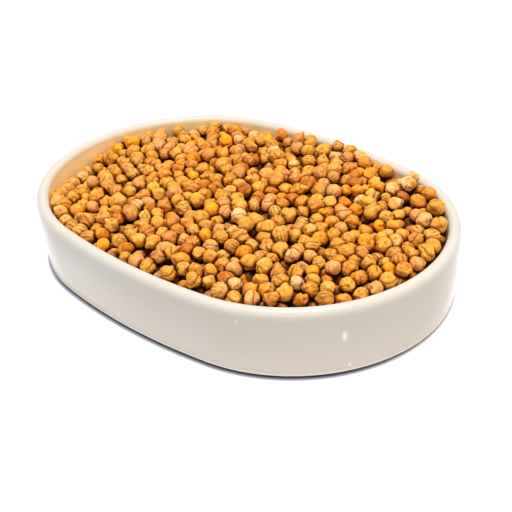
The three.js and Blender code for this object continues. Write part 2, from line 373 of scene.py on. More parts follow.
def glazeMaterial():
    look = glazeLook
    s = Shader("glaze")
    place = s.node("ShaderNodeTexCoord").outputs["Object"]
    height = s.node("ShaderNodeSeparateXYZ", Vector=place).outputs["Z"]

    def risen(fade):
        return s.ramp(height, fade[0] / metre, fade[1] / metre)

    cloud = s.noise(place, look["cloudScale"], 3)
    colour = s.mixColour(s.ramp(cloud, *look["cloudFade"]), look["body"], look["warm"])
    # painted shade low on the outer wall
    colour = s.mixColour(risen(look["lowShadeFade"]), colour, look["low"])
    # painted light on the inside of the glaze
    colour = s.mixColour(s.attribute("inside"), colour, look["inside"])
    # the rim: partly thin glaze, partly a painted highlight
    colour = s.mixColour(risen(look["rimFade"]), colour, look["rim"])
    spots = s.node("ShaderNodeTexVoronoi", Vector=place, Scale=look["speckScale"])
    speck = s.math("LESS_THAN", spots.outputs["Distance"], look["speckSize"])
    rare = s.math("GREATER_THAN", s.noise(place, look["speckPatches"], 0), look["speckRarity"])
    speck = s.math("MULTIPLY", s.math("MULTIPLY", speck, rare), look["speckStrength"])
    colour = s.mixColour(speck, colour, look["speck"])
    # painted glints on the outer wall, and one stain
    for centre, reach, stretch, paint, strength in look["glintsAndStain"]:
        away = s.vector("SUBTRACT", place, [v / metre for v in centre])
        distance = s.vector("LENGTH", s.vector("MULTIPLY", away, (1, 1, stretch)))
        near = s.ramp(distance, reach / metre, 0)
        colour = s.mixColour(s.math("MULTIPLY", near, strength), colour, paint)
    # painted highlight along the wall's lower edge
    colour = s.mixColour(risen(look["edgeHighlightFade"]), colour, look["edge"])
    bare = risen(look["clayFade"])
    colour = s.mixColour(bare, colour, look["clay"])
    smear = s.ramp(s.noise(place, look["smearScale"], 2), *look["smearFade"])
    roughness = s.mixValue(smear, *look["roughness"])
    roughness = s.mixValue(s.attribute("inside"), roughness, look["insideRoughness"])
    roughness = s.mixValue(bare, roughness, look["clayRoughness"])
    swell = s.noise(place, look["swellScale"], 1)
    bump = s.node("ShaderNodeBump", Height=swell, Strength=look["swellStrength"],
                  Distance=look["swellHeight"] / metre)
    shader = s.node("ShaderNodeBsdfPrincipled", Base_Color=colour, Roughness=roughness,
                    Normal=bump.outputs["Normal"])
    shader.inputs["Specular IOR Level"].default_value = look["specular"]
    shader.inputs["Coat Weight"].default_value = look["coat"]
    shader.inputs["Coat Roughness"].default_value = look["coatRoughness"]
    s.node("ShaderNodeOutputMaterial", Surface=shader.outputs["BSDF"])
    return s.material


dish = makeDish()
dish.data.materials.append(glazeMaterial())
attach(dish, "root")
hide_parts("dish")
print("dish made,", len(dish.data.polygons), "triangles")

# The heap's form and the pour.
heapForm = {
    "fitGap": 0.35,          # between the dish and the chickpeas as they are poured
    "lowEndLevel": 33.5,
    "highEndLevel": 40.5,
    "dome": 3,
    "hollows": (             # x, y, reach, depth, and a mound where the depth is negative
        (-114, -30, 48, 8),
        (-110, 15, 14, -5),
        (-72, 60, 24, -1.5),
        (-53, 76, 11, 5),
        (-14, 78, 22, -3),
        (6, 78, 14, -3),
        (42, 78, 14, 4),
        (64, 68, 18, -2.5),
        (88, 58, 38, -4.2),
    ),
}
pourForm = {
    "peaRadius": 3.85,
    "radiusSpread": 0.2,
    "layers": 3,
    "spacing": 7.7,
    "scatter": 0.9,
    "wallReach": 0.5,        # one that starts in the wall by up to this share of the spacing is moved in
    "seed": 76,
    "settleSteps": 160,
    "fallPerStep": 0.3,
    "bedDepth": 20.5,        # from the heap's top down to what the chickpeas come to rest on
    "mostRise": 2.4,         # those that stick out further than this are taken away
}


def heapTop(x, y):  # the height of the heap's top, rising along the dish
    halfLength = dishLength / 2 - dishForm["rimThickness"]
    halfWidth = dishWidth / 2 - dishForm["rimThickness"]
    left = (halfLength - x) / (2 * halfLength)
    climb = (heapForm["highEndLevel"] - heapForm["lowEndLevel"]) * (1 - left * left * left)
    spread = (x * x) / (halfLength * halfLength) + (y * y) / (halfWidth * halfWidth)
    height = heapForm["lowEndLevel"] + climb + heapForm["dome"] * (1 - spread)
    for hollowX, hollowY, reach, depth in heapForm["hollows"]:
        dx = x - hollowX
        dy = y - hollowY
        near = 1 - (dx * dx + dy * dy) / (reach * reach)
        height = height - depth * near * near * (near > 0)
    return height


def seededDraws(seed):  # repeatable draws between 0 and 1, by the minimal standard generator
    state = seed
    while True:
        state = state * 16807 % (2**31 - 1)
        yield state / (2**31 - 1)


def drawDirection(draws):
    while True:
        x = 2 * next(draws) - 1
        y = 2 * next(draws) - 1
        z = 2 * next(draws) - 1
        length = math.sqrt(x * x + y * y + z * z)
        if 0.1 < length < 1:
            return np.array([x / length, y / length, z / length])


def scatterPeas():
    draws = seededDraws(pourForm["seed"])
    spacing = pourForm["spacing"]
    usual = pourForm["peaRadius"]
    columns = math.floor(dishLength / spacing / 2)
    rows = math.floor(dishWidth / spacing / 2)
    peas = []
    for layer in range(pourForm["layers"]):
        for column in range(-columns, columns + 1):
            for row in range(-rows, rows + 1):
                radius = usual * (1 + pourForm["radiusSpread"] * (next(draws) + next(draws) - 1))
                x = (column + pourForm["scatter"] * (next(draws) - 0.5)) * spacing
                y = (row + pourForm["scatter"] * (next(draws) - 0.5)) * spacing
                beak = drawDirection(draws)
                flat = drawDirection(draws)
                inX, inY = keepPointInside(x, y, dishForm["rimThickness"] + usual)
                if math.hypot(inX - x, inY - y) > pourForm["wallReach"] * spacing:
                    continue
                x = inX
                y = inY
                z = heapTop(x, y) - pourForm["bedDepth"] + (2 * layer + 1) * usual
                peas.append({"x": x, "y": y, "z": z, "radius": radius, "beak": beak, "flat": flat})
    return peas


def settlePeas(peas):  # they fall, and push one another aside until they lie still
    cell = 2 * pourForm["peaRadius"] * (1 + pourForm["radiusSpread"])
    cellsInRow = 4 * math.ceil(dishLength / cell)
    offsets = [row * cellsInRow + column for row in (-1, 0, 1) for column in (-1, 0, 1)]
    xs = [pea["x"] for pea in peas]
    ys = [pea["y"] for pea in peas]
    zs = [pea["z"] for pea in peas]
    radii = [pea["radius"] for pea in peas]
    steps = pourForm["settleSteps"]
    for step in range(steps):
        fall = pourForm["fallPerStep"] * (1 - step / steps)
        cells = {}
        places = []
        for i in range(len(peas)):
            zs[i] -= fall
            place = math.floor(ys[i] / cell) * cellsInRow + math.floor(xs[i] / cell)
            places.append(place)
            cells.setdefault(place, []).append(i)
        for i in range(len(peas)):
            x = xs[i]
            y = ys[i]
            z = zs[i]
            radius = radii[i]
            for offset in offsets:
                for j in cells.get(places[i] + offset, ()):
                    if j <= i:
                        continue
                    dx = xs[j] - x
                    dy = ys[j] - y
                    dz = zs[j] - z
                    gap = radius + radii[j]
                    square = dx * dx + dy * dy + dz * dz
                    if square > gap * gap + 0.001:
                        continue
                    distance = math.sqrt(square)
                    if distance >= gap or distance < 1e-6:
                        continue
                    push = (gap - distance) / distance / 2
                    x -= dx * push
                    y -= dy * push
                    z -= dz * push
                    xs[j] += dx * push
                    ys[j] += dy * push
                    zs[j] += dz * push
            x, y = keepPointInside(x, y, wallInset(z) + heapForm["fitGap"] + radius)
            xs[i] = x
            ys[i] = y
            zs[i] = max(z, heapTop(x, y) - pourForm["bedDepth"] + radius)
    for pea, x, y, z in zip(peas, xs, ys, zs):
        pea["centre"] = np.array([x, y, z])
        pea["depth"] = heapTop(x, y) - z - pea["radius"]
    return [pea for pea in peas if pea["depth"] > -pourForm["mostRise"]]


sightForm = {
    "pixel": 0.6,
    "azimuths": range(0, 360, 45),
    "elevations": (22, 45, 70),
    "farAway": -1e9,
}


def countSeen(peas):  # how much of each chickpea shows, over views from all sides
    centres = np.array([pea["centre"] for pea in peas])
    radii = np.array([pea["radius"] for pea in peas])
    seen = np.zeros(len(peas))
    pixel = sightForm["pixel"]
    reach = int(radii.max() / pixel) + 2
    offsets = np.arange(-reach, reach + 1) * pixel
    gridX, gridY = np.meshgrid(offsets, offsets, indexing="ij")
    size = int(2 * dishLength / pixel)
    for elevation in sightForm["elevations"]:
        for azimuth in sightForm["azimuths"]:
            a = math.radians(azimuth)
            e = math.radians(elevation)
            towards = np.array([math.sin(a) * math.cos(e), -math.cos(a) * math.cos(e), math.sin(e)])
            right = np.array([math.cos(a), math.sin(a), 0])
            above = np.cross(towards, right)
            across = centres @ right
            height = centres @ above
            near = centres @ towards
            depth = np.full((size, size), sightForm["farAway"])
            owner = np.full((size, size), -1)
            for i in range(len(peas)):
                column = int(round(across[i] / pixel)) + size // 2
                row = int(round(height[i] / pixel)) + size // 2
                square = radii[i] ** 2 - gridX**2 - gridY**2
                front = np.where(square > 0, near[i] + np.sqrt(np.maximum(square, 0)), sightForm["farAway"])
                window = slice(column - reach, column + reach + 1), slice(row - reach, row + reach + 1)
                closer = front > depth[window]
                depth[window][closer] = front[closer]
                owner[window][closer] = i
            seen += np.bincount(owner[owner >= 0].ravel(), minlength=len(peas))
    return seen * pixel * pixel


heapLook = {
    "fineFrom": 330,       # seen area above which a chickpea gets the finer mesh
    "subdivisions": (4, 3),  # of the finer mesh and of the others'
    "leastSeen": 45,       # below this a chickpea is left out
    "deepest": 11,         # under the heap's top
    "seed": 4100,
    "topMargin": 0.1,      # under the height of the solids
    "wallGap": 0.1,
    "fullness": 1.02,      # a chickpea's size against the ball it was poured as
    "neighbours": 2.6,     # how many usual radii away they lie at most
    "touchGap": 0.02,      # between the flats where two chickpeas touch
    "touchReach": 1.15,    # the flat lies no further out than this share of the radius
    "gapWidth": 1.8,       # painted shade: chickpeas nearer than this darken one another
    "shadeFrom": (3.6, 8.2),  # depths between which more and more painted shade is laid on them
}


peas = settlePeas(scatterPeas())
print("poured", len(peas))
peas = [pea for pea in peas if pea["depth"] < heapLook["deepest"]]
for pea, seen in zip(peas, countSeen(peas)):
    pea["seen"] = seen
print("chickpeas that can show", len(peas))

# The kinds of chickpea. A range is (least, most), from which each chickpea draws its own value.
peaKinds = {
    "plain_chickpeas": {
        "share": 22,
        "light": rgb(244, 180, 70),
        "deep": rgb(208, 117, 8),
        "relief": 0.2,
        "beak": (0.2, 0.46),
        "cleft": (0.02, 0.16),
        "lobes": (-0.04, 0.08),
        "facets": (6, 10),
        "facetCut": (0.8, 0.95),
        "dents": (0, 3),
        "ridges": (0, 0.02),
        "wrinkles": (0.016, 0.044),
        "crescent": (0, 0.09),
        "bare": (0, 0.06),
    },
    "beaked_chickpeas": {
        "share": 20,
        "light": rgb(246, 178, 64),
        "deep": rgb(204, 107, 6),
        "relief": 0.25,
        "beak": (0.4, 0.72),
        "cleft": (0.03, 0.16),
        "lobes": (0, 0.12),
        "facets": (4, 9),
        "facetCut": (0.78, 0.96),
        "dents": (0, 3),
        "ridges": (0, 0.024),
        "wrinkles": (0.018, 0.05),
        "crescent": (0, 0.1),
        "bare": (0, 0.1),
    },
    "wrinkled_chickpeas": {
        "share": 18,
        "light": rgb(249, 191, 86),
        "deep": rgb(204, 113, 8),
        "relief": 0.35,
        "beak": (0.16, 0.44),
        "cleft": (0.06, 0.22),
        "lobes": (0, 0.16),
        "facets": (7, 12),
        "facetCut": (0.72, 0.92),
        "dents": (2, 5),
        "ridges": (0.01, 0.034),
        "wrinkles": (0.04, 0.08),
        "crescent": (0, 0.12),
        "bare": (0, 0.2),
    },
    "ridged_chickpeas": {
        "share": 9,
        "light": rgb(243, 181, 82),
        "deep": rgb(194, 102, 12),
        "relief": 0.3,
        "beak": (0.1, 0.3),
        "cleft": (0.03, 0.1),
        "lobes": (-0.02, 0.06),
        "facets": (3, 6),
        "facetCut": (0.88, 0.98),
        "dents": (0, 2),
        "ridges": (0.05, 0.085),
        "wrinkles": (0.012, 0.03),
        "crescent": (0, 0.05),
        "bare": (0, 0.04),
    },
    "golden_chickpeas": {
        "share": 6,
        "light": rgb(250, 160, 18),
        "deep": rgb(206, 110, 8),
        "relief": 0.12,
        "beak": (0.06, 0.34),
        "cleft": (0, 0.16),
        "lobes": (-0.02, 0.12),
        "facets": (4, 9),
        "facetCut": (0.8, 0.97),
        "dents": (0, 3),
        "ridges": (0, 0.014),
        "wrinkles": (0.008, 0.028),
        "crescent": (0, 0.06),
        "bare": (0.3, 0.9),
    },
    "tan_chickpeas": {
        "share": 13,
        "light": rgb(242, 176, 98),
        "deep": rgb(204, 118, 30),
        "relief": 0.2,
        "beak": (0.12, 0.4),
        "cleft": (0, 0.12),
        "lobes": (-0.03, 0.06),
        "facets": (5, 9),
        "facetCut": (0.82, 0.96),
        "dents": (0, 3),
        "ridges": (0, 0.02),
        "wrinkles": (0.014, 0.04),
        "crescent": (0, 0.1),
        "bare": (0, 0.03),
    },
    "pale_chickpeas": {
        "share": 7,
        "light": rgb(253, 207, 138),
        "deep": rgb(230, 154, 52),
        "relief": 0.35,
        "beak": (0.14, 0.46),
        "cleft": (0.05, 0.2),
        "lobes": (0, 0.14),
        "facets": (7, 12),
        "facetCut": (0.7, 0.92),
        "dents": (2, 5),
        "ridges": (0, 0.02),
        "wrinkles": (0.02, 0.05),
        "crescent": (0, 0.09),
        "bare": (0.05, 0.4),
    },
    "brown_chickpeas": {
        "share": 6,
        "light": rgb(224, 136, 34),
        "deep": rgb(172, 86, 12),
        "relief": 0.35,
        "beak": (0.14, 0.4),
        "cleft": (0.1, 0.24),
        "lobes": (0.02, 0.16),
        "facets": (6, 11),
        "facetCut": (0.72, 0.92),
        "dents": (1, 4),
        "ridges": (0, 0.034),
        "wrinkles": (0.02, 0.05),
        "crescent": (0.02, 0.12),
        "bare": (0, 0.25),
    },
}


def ballDirections(subdivisions):
    ball = bmesh.new()
    bmesh.ops.create_icosphere(ball, subdivisions=subdivisions, radius=1)
    directions = np.array([v.co[:] for v in ball.verts])
    faces = np.array([[v.index for v in f.verts] for f in ball.faces])
    ball.free()
    return directions / np.linalg.norm(directions, axis=1)[:, None], faces


def smoothStep(value, low, high):
    share = np.clip((value - low) / (high - low), 0, 1)
    return share * share * (3 - 2 * share)


def bumpAt(directions, middle, width):  # 1 at a direction, falling off round it
    middle = np.asarray(middle, float)
    middle = middle / np.linalg.norm(middle)
    angle = np.arccos(np.clip(directions @ middle, -1, 1))
    return np.exp(-((angle / width) ** 2))


def waves(directions, draw, count, frequency):
    total = np.zeros(len(directions))
    for _ in range(count):
        heading = draw.normal(size=3)
        heading *= frequency * draw.uniform(0.7, 1.3) / np.linalg.norm(heading)
        total += np.sin(directions @ heading + draw.uniform(0, 2 * math.pi))
    return total / math.sqrt(count)


# What the kinds have in common, for a usual radius of 1 and with widths as angles.
peaForm = {
    "length": (-0.1, 0.14),
    "height": (-0.16, 0.03),
    "unevenness": 0.04,
    "facetSoftness": 0.025,
    "facetReach": 0.2,              # the cosine down to which a facet can cut
    "hook": (0.05, 0.5),            # how high the beak points
    "beakWidth": (0.32, 0.5),
    "beakSideways": (-0.12, 0.12),
    "beakParts": (0.58, 0.42),      # of its length, in the broad foot and in the tip
    "tipWidth": 0.4,                # as a share of the beak's
    "notchDrop": 0.72,              # the dent under the beak
    "notchWidth": 0.27,
    "notchDepth": 0.42,             # as a share of the beak's length
    "notchMost": 0.4,               # a longer beak makes it no deeper
    "cleftWander": 0.12,
    "cleftBends": 2.4,
    "cleftWidth": (0.09, 0.2),
    "cleftLean": 0.35,              # from the top towards the far end
    "cleftFade": (-0.2, 0.4),
    "ridgeCount": (9, 15),
    "ridgeWarp": 0.9,
    "ridgeEnds": 0.35,              # they run out near the beak and the far end
    "crescentAngle": (0.5, 0.85),
    "crescentWidth": 0.11,
    "crescentFade": (-0.2, 0.6),
    "dentWidth": (0.22, 0.5),
    "dentDepth": (0.05, 0.17),
    "peelDepth": 0.03,              # where the coat has come off
    "peelEdge": 0.05,
    "peelLeast": 0.02,              # a smaller share of bare flesh is left out
    "wrinkleCount": (4, 8),
    "wrinkleWarp": 2.2,
    "wrinkleBreaks": 0.8,
    "wrinkleParts": (1.7, 0.5),     # in at the fold and out beside it
    "wrinklesOff": 0.6,             # by how much they are fainter on bare flesh
    # how dark the painted shade is in the notch under the beak, in dents and in wrinkles
    "darkness": {"notch": 0.8, "dents": 0.7, "wrinkles": 0.8},
    "darkFrom": {"cleft": 0.08, "ridges": 0.05, "crescent": 0.06, "wrinkles": 0.035},  # depths at which the painted shade in each kind of crease is full
    "notchTint": 0.5,               # of the beak tip's darker colour
}


# The radius of a chickpea in each direction, for a usual radius of 1, and what colours it:
# how deep it lies in a crease, which gets painted shade, how near the beak's tip it is, and whether its
# coat has come off.
def shapeOf(directions, kind, draw):
    form = peaForm

    def pick(key):
        low, high = kind[key] if key in kind else form[key]
        return draw.uniform(low, high)

    def darkAt(key, depth):  # a shallow crease gets less painted shade
        return np.minimum(depth / form["darkFrom"][key], 1)

    along = directions[:, 0]
    across = directions[:, 1]
    up = directions[:, 2]
    third = 0.33  # the mean of a square, so that the size stays
    radius = 1 + pick("length") * (along**2 - third) + pick("lobes") * (across**2 - third)
    radius += pick("height") * (up**2 - third)
    radius += form["unevenness"] * waves(directions, draw, count=3, frequency=2.4)
    creaseShade = np.zeros(len(directions))

    for _ in range(int(round(pick("facets")))):  # flattened sides with soft edges
        face = draw.normal(size=3)
        face /= np.linalg.norm(face)
        cut = pick("facetCut") / np.maximum(directions @ face, form["facetReach"])
        soft = form["facetSoftness"]
        blend = np.clip(0.5 + (cut - radius) / (2 * soft), 0, 1)
        radius = cut + (radius - cut) * blend - soft * blend * (1 - blend)

    beakLength = pick("beak")
    hook = pick("hook")
    beakWidth = pick("beakWidth")
    sideways = pick("beakSideways")
    beak = bumpAt(directions, (1, sideways, hook), beakWidth)
    tip = bumpAt(directions, (1, sideways, hook), beakWidth * form["tipWidth"])
    radius += beakLength * (form["beakParts"][0] * beak + form["beakParts"][1] * tip)
    notch = bumpAt(directions, (1, sideways, hook - form["notchDrop"]), form["notchWidth"])
    radius -= min(beakLength, form["notchMost"]) * form["notchDepth"] * notch
    creaseShade = np.maximum(creaseShade, form["darkness"]["notch"] * notch)

    bends = form["cleftBends"] * np.arctan2(up, -along)
    wander = form["cleftWander"] * np.sin(bends + draw.uniform(0, 6.28))
    width = pick("cleftWidth")
    groove = np.exp(-(((across - wander) / width) ** 2))
    groove = groove * smoothStep(up - form["cleftLean"] * along, *form["cleftFade"])
    depth = pick("cleft")
    radius -= depth * groove
    creaseShade = np.maximum(creaseShade, groove**2 * darkAt("cleft", depth))

    turn = np.arctan2(up, across)  # ridges run from the beak to the far end
    count = draw.randint(*form["ridgeCount"])
    warp = form["ridgeWarp"] * waves(directions, draw, count=2, frequency=2.5)
    stripe = 0.5 + 0.5 * np.cos(count * turn + warp)
    ends = form["ridgeEnds"]
    valley = stripe**2 * np.clip((1 + ends) * np.sqrt(1 - np.clip(along**2, 0, 1)) - ends, 0, 1)
    depth = pick("ridges")
    radius -= depth * valley
    creaseShade = np.maximum(creaseShade, valley**2 * darkAt("ridges", depth))

    opening = pick("crescentAngle")  # a crescent goes part of the way round the beak
    ring = np.exp(-(((np.arccos(np.clip(along, -1, 1)) - opening) / form["crescentWidth"]) ** 2))
    ring = ring * smoothStep(np.cos(turn - draw.uniform(0, 6.28)), *form["crescentFade"])
    depth = pick("crescent")
    radius -= depth * ring
    creaseShade = np.maximum(creaseShade, ring**2 * darkAt("crescent", depth))

    for _ in range(int(round(pick("dents")))):
        dent = bumpAt(directions, draw.normal(size=3), pick("dentWidth"))
        depth = pick("dentDepth")
        radius -= depth * dent
        dark = form["darkness"]["dents"] * dent**2
        creaseShade = np.maximum(creaseShade, dark * depth / form["dentDepth"][1])

    share = pick("bare")
    peel = waves(directions, draw, count=4, frequency=2.6)
    edge = np.sort(peel)[int((1 - share) * (len(peel) - 1))]
    bare = np.zeros(len(peel))
    if share > form["peelLeast"]:
        bare = smoothStep(peel, edge - form["peelEdge"], edge + form["peelEdge"])
    radius -= form["peelDepth"] * bare

    count = draw.randint(*form["wrinkleCount"])
    warp = form["wrinkleWarp"] * waves(directions, draw, count=3, frequency=2.4)
    wrinkle = np.sin(count * turn + warp)
    wrinkle = wrinkle + form["wrinkleBreaks"] * waves(directions, draw, count=5, frequency=5.5)
    fold = 1 - np.abs(wrinkle).clip(0, 1)
    depth = pick("wrinkles") * (1 - form["wrinklesOff"] * bare)
    inward, outward = form["wrinkleParts"]
    radius -= depth * (fold**2 * inward - outward)
    creaseShade = np.maximum(creaseShade, form["darkness"]["wrinkles"] * fold**4 * darkAt("wrinkles", depth))
    return radius, creaseShade, np.maximum(tip, form["notchTint"] * notch), bare


def turnOf(pea):  # the chickpea's own axes: the beak, across the lobes, and up
    x = pea["beak"]
    y = np.cross(pea["flat"], x)
    y = y / max(np.linalg.norm(y), 1e-6)
    return np.stack([x, y, np.cross(x, y)])


def makePea(pea, kind, neighbours, directions, draw):
    radius, creaseShade, tip, bare = shapeOf(directions, kind, draw)
    turned = directions @ turnOf(pea)
    points = pea["centre"] + turned * (radius * pea["radius"] * heapLook["fullness"])[:, None]
    gap = np.full(len(points), np.inf)
    for other in neighbours:  # where two touch, both stop at the plane between them
        towards = other["centre"] - pea["centre"]
        distance = np.linalg.norm(towards)
        towards = towards / distance
        plane = (distance + (pea["radius"] ** 2 - other["radius"] ** 2) / distance) / 2
        plane = min(plane, pea["radius"] * heapLook["touchReach"])
        over = (points - pea["centre"]) @ towards - plane + heapLook["touchGap"]
        points -= towards * np.maximum(over, 0)[:, None]
        gap = np.minimum(gap, np.linalg.norm(points - other["centre"], axis=1) - other["radius"])
    keepInside(points, wallInsets(points[:, 2]) + heapLook["wallGap"])
    points[:, 2] = np.minimum(points[:, 2], cadHigh.z * metre - heapLook["topMargin"])
    # painted shade: deeper in the heap, and where chickpeas nearly touch
    buried = np.array([heapTop(x, y) for x, y in points[:, :2]]) - points[:, 2]
    narrow = 1 - smoothStep(gap, 0, heapLook["gapWidth"])
    shade = np.clip(smoothStep(buried, *heapLook["shadeFrom"]) + narrow, 0, 1)
    return points, {"creaseShade": creaseShade, "tip": tip, "bare": bare, "shade": shade}


def makeHeap():
    names = list(peaKinds)
    shares = np.array([peaKinds[name]["share"] for name in names], float)
    choose = np.random.RandomState(heapLook["seed"])
    fine, coarse = [ballDirections(subdivisions) for subdivisions in heapLook["subdivisions"]]
    centres = np.array([pea["centre"] for pea in peas])
    reach = heapLook["neighbours"] * pourForm["peaRadius"]
    parts = {name: [] for name in names}
    for i, pea in enumerate(peas):
        name = choose.choice(names, p=shares / shares.sum())
        tone = choose.uniform()
        hue = choose.uniform()
        if pea["seen"] < heapLook["leastSeen"]:
            continue
        directions, faces = fine if pea["seen"] > heapLook["fineFrom"] else coarse
        distance = np.linalg.norm(centres - pea["centre"], axis=1)
        near = [peas[j] for j in np.flatnonzero((distance > 0) & (distance < reach))]
        draw = np.random.RandomState(heapLook["seed"] + 1 + i)
        points, values = makePea(pea, peaKinds[name], near, directions, draw)
        values["tone"] = np.full(len(points), tone)
        values["hue"] = np.full(len(points), hue)
        parts[name].append((points, faces, values))
    pieces = {}
    for name, made in parts.items():
        points, faces, values = zip(*made)
        starts = np.cumsum([0] + [len(part) for part in points[:-1]])
        faces = np.concatenate([part + start for part, start in zip(faces, starts)])
        values = {key: np.concatenate([part[key] for part in values]) for key in values[0]}
        pieces[name] = makeMesh(name, np.concatenate(points), faces, values)
        print(name, len(made), "chickpeas", len(faces), "triangles")
    return pieces


# The skin of a chickpea.
skinLook = {
    "warm": rgb(250, 150, 30),
    "flesh": rgb(252, 168, 28),       # where the coat has come off
    "fleshStrength": 0.75,
    "toneStart": -0.05,               # from a kind's light colour to its deep one
    "toneSpread": 0.62,
    "hueSpread": 0.25,
    "cloudScale": 260,
    "cloudSpread": 1.3,
    "grainScale": 800,
    "grainSpread": 1.3,
    # painted shade in the creases, in a tint of the kind's deep colour
    "creaseShade": 0.95,
    "creaseShadeTint": (0.3, 0.16, 0.09),
    "tipFade": (0.8, 1),
    "tipStrength": 0.4,
    "shade": 0.95,
    "redden": 0.6,                    # light that has passed from one chickpea to the next
    "gap": (0.09, 0.045, 0.012, 1),   # what is left of the light deep between the chickpeas
    "roughness": 0.4,
    "cloudRoughness": 0.2,
    "fleshGloss": 0.12,
    "bump": 1,
    "specular": 0.25,
}


def skinGroup():
    look = skinLook
    tree = bpy.data.node_groups.new("peaSkin", "ShaderNodeTree")
    for name, kind, value in (
        ("Light", "NodeSocketColor", (0.8, 0.5, 0.2, 1)),
        ("Deep", "NodeSocketColor", (0.6, 0.3, 0.1, 1)),
        ("Crease", "NodeSocketColor", (0.2, 0.1, 0.04, 1)),
        ("Relief", "NodeSocketFloat", 0.5),
    ):
        socket = tree.interface.new_socket(name, in_out="INPUT", socket_type=kind)
        socket.default_value = value
    outputs = (
        ("Color", "NodeSocketColor"),
        ("Roughness", "NodeSocketFloat"),
        ("Normal", "NodeSocketVector"),
    )
    for name, kind in outputs:
        tree.interface.new_socket(name, in_out="OUTPUT", socket_type=kind)
    s = Shader("", tree)
    given = tree.nodes.new("NodeGroupInput").outputs
    place = s.node("ShaderNodeTexCoord").outputs["Object"]
    bare = s.attribute("bare")
    cloud = s.noise(place, look["cloudScale"], 3)
    grain = s.noise(place, look["grainScale"], 3)
    share = s.math("ADD", s.math("MULTIPLY", s.attribute("tone"), look["toneSpread"]), look["toneStart"])
    patch = s.math("MULTIPLY", s.math("SUBTRACT", cloud, 0.5), look["cloudSpread"])
    fleck = s.math("MULTIPLY", s.math("SUBTRACT", grain, 0.5), look["grainSpread"])
    share = s.math("ADD", s.math("ADD", share, patch), fleck, clamp=True)
    colour = s.mixColour(share, given["Light"], given["Deep"])
    colour = s.mixColour(s.math("MULTIPLY", s.attribute("hue"), look["hueSpread"]), colour, look["warm"])
    colour = s.mixColour(s.math("MULTIPLY", bare, look["fleshStrength"]), colour, look["flesh"])
    # painted shade in the creases; the beak's tip is darker in itself
    dark = s.math("MULTIPLY", s.attribute("creaseShade"), look["creaseShade"])
    tip = s.math("MULTIPLY", s.ramp(s.attribute("tip"), *look["tipFade"]), look["tipStrength"])
    colour = s.mixColour(s.math("MAXIMUM", dark, tip), colour, given["Crease"])
    # painted shade deep in the heap and between chickpeas, reddened as light is that has passed between
    # them
    shade = s.math("MULTIPLY", s.attribute("shade"), look["shade"])
    depth = s.math("ADD", 1, s.math("MULTIPLY", shade, look["redden"]))
    colour = s.node("ShaderNodeGamma", Color=colour, Gamma=depth).outputs["Color"]
    colour = s.mixColour(shade, colour, look["gap"], "MULTIPLY")
    rough = s.math("ADD", look["roughness"], s.math("MULTIPLY", cloud, look["cloudRoughness"]))
    rough = s.math("SUBTRACT", rough, s.math("MULTIPLY", bare, look["fleshGloss"]))
    rough = s.mixValue(shade, rough, 1)
    bump = s.node("ShaderNodeBump", Height=grain, Strength=given["Relief"], Distance=look["bump"] / metre)
    out = tree.nodes.new("NodeGroupOutput")
    s.feed(out.inputs["Color"], colour)
    s.feed(out.inputs["Roughness"], rough)
    s.feed(out.inputs["Normal"], bump.outputs["Normal"])
    return tree


def skinMaterial(name, kind, group):
    s = Shader(name)
    skin = s.node("ShaderNodeGroup", {"node_tree": group})
    skin.inputs["Light"].default_value = kind["light"]
    skin.inputs["Deep"].default_value = kind["deep"]
    creaseShade = [a * b for a, b in zip(kind["deep"], skinLook["creaseShadeTint"])]
    skin.inputs["Crease"].default_value = creaseShade + [1]
    skin.inputs["Relief"].default_value = kind["relief"]
    shader = s.node("ShaderNodeBsdfPrincipled", Base_Color=skin.outputs["Color"],
                    Roughness=skin.outputs["Roughness"], Normal=skin.outputs["Normal"])
    shader.inputs["Specular IOR Level"].default_value = skinLook["specular"]
    s.node("ShaderNodeOutputMaterial", Surface=shader.outputs["BSDF"])
    return s.material


heapPieces = makeHeap()
skin = skinGroup()
for name, piece in heapPieces.items():
    piece.data.materials.append(skinMaterial(name, peaKinds[name], skin))
    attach(piece, "root")
    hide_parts("chickpeas")

# The core under the chickpeas that show, coloured dark brown as painted shade for the chickpeas deep in the
# heap.
coreLook = {
    "depth": 10,          # under the heap's top
    "rings": 60,
    "wallGap": 0.6,
    "bottom": 8,
    # painted shade: the dark browns of the heap's depths
    "light": rgb(92, 38, 8),
    "dark": rgb(40, 13, 2),
    "patchScale": 200,
    "lumpScale": 150,
    "lumpStrength": 0.6,
    "lumpHeight": 2,
    "roughness": 0.9,
}


def makeCore():
    normals = outlineNormals()
    around = len(normals)
    edge = outlinePoints(normals, wallInset(filletLevel) + coreLook["wallGap"])
    foot = outlinePoints(normals, wallInset(filletLevel) + dishForm["floorFillet"])
    rings = []
    for ring in range(coreLook["rings"]):
        plan = edge * (1 - ring / coreLook["rings"])
        rings.append(np.column_stack([plan, heapTop(plan[:, 0], plan[:, 1]) - coreLook["depth"]]))
    middle = [[0, 0, heapTop(0, 0) - coreLook["depth"]], [0, 0, coreLook["bottom"]]]
    low = np.column_stack([edge, np.full(around, filletLevel)])
    bottom = np.column_stack([foot, np.full(around, coreLook["bottom"])])
    points = np.concatenate([bottom, low] + rings + [middle])
    here = np.arange(around)
    after = (here + 1) % around
    faces = []
    count = coreLook["rings"] + 2
    for ring in range(count - 1):
        a = ring * around
        b = a + around
        faces.append(np.column_stack([a + here, a + after, b + after]))
        faces.append(np.column_stack([a + here, b + after, b + here]))
    last = (count - 1) * around
    faces.append(np.column_stack([last + here, last + after, np.full(around, len(points) - 2)]))
    faces.append(np.column_stack([after, here, np.full(around, len(points) - 1)]))
    return makeMesh("heap_core", points, np.concatenate(faces))


